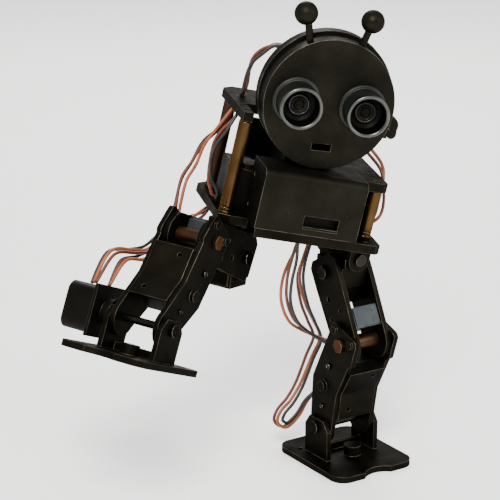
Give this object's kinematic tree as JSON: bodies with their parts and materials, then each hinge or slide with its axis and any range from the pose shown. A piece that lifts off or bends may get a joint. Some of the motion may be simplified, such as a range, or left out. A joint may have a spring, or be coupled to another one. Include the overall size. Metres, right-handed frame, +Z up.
{
  "type": "humanoid robot kit",
  "caption": "Small plate-built walking robot with a round two-eyed head, antennas, a boxed torso and two jointed legs, one knee raised.",
  "frame": {"origin": "centre of the standing foot's sole", "axes": "+Z up, -Y the way the standing foot points, +X the robot's left"},
  "size_m": [0.1502, 0.0837, 0.1918],
  "materials": {
    "cable_rust": "satin",
    "cable_dark": "satin",
    "old_brass": "worn satin",
    "eye_can": "brushed",
    "bolt_steel": "oiled",
    "circuit": "matte",
    "servo_case": "satin",
    "battery_cells": "satin",
    "servo_dark": "satin",
    "shell": "satin, worn",
    "deck_metal": "satin, worn edges"
  },
  "bodies": {
    "torso": {"bottom_deck": "deck_metal", "shoulder_deck": "deck_metal", "side_deck": "deck_metal", "front_cover": "shell", "cover_lip": "servo_case", "standoff_lf": "old_brass", "standoff_lr": "old_brass", "standoff_rf": "old_brass", "standoff_rr": "old_brass", "standoff_s1": "old_brass", "standoff_s2": "old_brass", "battery": "battery_cells", "control_board": "circuit", "yaw_servo_l": "servo_case", "yaw_servo_r": "servo_case", "neck_servo": "servo_case", "cable_a": "cable_rust", "cable_b": "cable_rust", "cable_c": "cable_dark", "cable_d": "cable_dark", "cable_e": "cable_dark", "cable_f": "cable_dark", "cable_g": "cable_rust"},
    "head": {"neck_bracket": "deck_metal", "face": "shell", "back_shell": "shell", "sensor_board": "circuit", "eye_l": "eye_can", "eye_r": "eye_can", "antenna_l": "shell", "antenna_r": "shell"},
    "l_yoke": {"l_yoke": "deck_metal", "l_roll_pin": "bolt_steel"},
    "l_block": {"l_block": "deck_metal"},
    "l_thigh": {"l_thigh_in": "deck_metal", "l_thigh_out": "deck_metal", "l_thigh_servo": "servo_case", "l_hip_pin": "bolt_steel"},
    "l_shin": {"l_shin_in": "deck_metal", "l_shin_out": "deck_metal", "l_shin_servo": "servo_dark", "l_cover": "deck_metal", "l_knee_pin": "old_brass"},
    "l_foot": {"l_foot": "deck_metal", "l_ankle_pin": "bolt_steel"},
    "r_yoke": {"r_yoke": "deck_metal", "r_roll_pin": "bolt_steel"},
    "r_block": {"r_block": "deck_metal"},
    "r_thigh": {"r_thigh_in": "deck_metal", "r_thigh_out": "deck_metal", "r_thigh_servo": "servo_case", "r_hip_pin": "bolt_steel"},
    "r_shin": {"r_shin_in": "deck_metal", "r_shin_out": "deck_metal", "r_shin_servo": "servo_dark", "r_cover": "deck_metal", "r_knee_pin": "old_brass"},
    "r_foot": {"r_foot": "deck_metal", "r_ankle_pin": "bolt_steel", "ankle_servo": "servo_dark"}
  },
  "joints": [
    {"name": "neck_pan", "type": "hinge", "parent": "torso", "child": "head", "pos_m": [-0.01145, 0.0154, 0.13994], "axis": [0.1908, -0.1094, 0.9755], "range_deg": [-5, 10], "deforming": ["cable_a"]},
    {"name": "l_hip_yaw", "type": "hinge", "parent": "torso", "child": "l_yoke", "pos_m": [0.00139, 0.00297, 0.09503], "axis": [0.1908, -0.1094, 0.9755], "range_deg": [-20, 10], "deforming": ["cable_f", "cable_g"]},
    {"name": "l_hip_roll", "type": "hinge", "parent": "l_yoke", "child": "l_block", "pos_m": [0, 0.00376, 0.08791], "axis": [0, 0.9938, 0.1115], "range_deg": [-10, 5], "deforming": ["cable_f", "cable_g"]},
    {"name": "l_hip_pitch", "type": "hinge", "parent": "l_block", "child": "l_thigh", "pos_m": [0, 0.00466, 0.07996], "axis": [1, 0, 0], "range_deg": [-25, 35], "deforming": ["cable_f", "cable_g"]},
    {"name": "l_knee", "type": "hinge", "parent": "l_thigh", "child": "l_shin", "pos_m": [0, -0.00975, 0.05353], "axis": [1, 0, 0], "range_deg": [-40, 45], "deforming": ["cable_f", "cable_g"]},
    {"name": "l_ankle", "type": "hinge", "parent": "l_shin", "child": "l_foot", "pos_m": [0, 0.003, 0.0152], "axis": [1, 0, 0], "range_deg": [-22, 25], "deforming": ["cable_f", "cable_g"]},
    {"name": "r_hip_yaw", "type": "hinge", "parent": "torso", "child": "r_yoke", "pos_m": [-0.04194, 0.01834, 0.10523], "axis": [0.1908, -0.1094, 0.9755], "range_deg": [-15, 10], "deforming": ["cable_b", "cable_d"]},
    {"name": "r_hip_roll", "type": "hinge", "parent": "r_yoke", "child": "r_block", "pos_m": [-0.04333, 0.01914, 0.09811], "axis": [0.8925, 0.433, -0.126], "range_deg": [-4, 5], "deforming": ["cable_b", "cable_d"]},
    {"name": "r_hip_pitch", "type": "hinge", "parent": "r_block", "child": "r_thigh", "pos_m": [-0.04445, 0.01914, 0.09019], "axis": [0.4288, -0.9014, -0.0601], "range_deg": [0, 60], "deforming": ["cable_b", "cable_d"]},
    {"name": "r_knee", "type": "hinge", "parent": "r_thigh", "child": "r_shin", "pos_m": [-0.06826, 0.00689, 0.10395], "axis": [0.4288, -0.9014, -0.0601], "range_deg": [-55, 25], "deforming": ["cable_b", "cable_d"]},
    {"name": "r_ankle", "type": "hinge", "parent": "r_shin", "child": "r_foot", "pos_m": [-0.09736, -0.00527, 0.07871], "axis": [0.4288, -0.9014, -0.0601], "range_deg": [-35, 15], "deforming": ["cable_b", "cable_d"]}
  ]
}
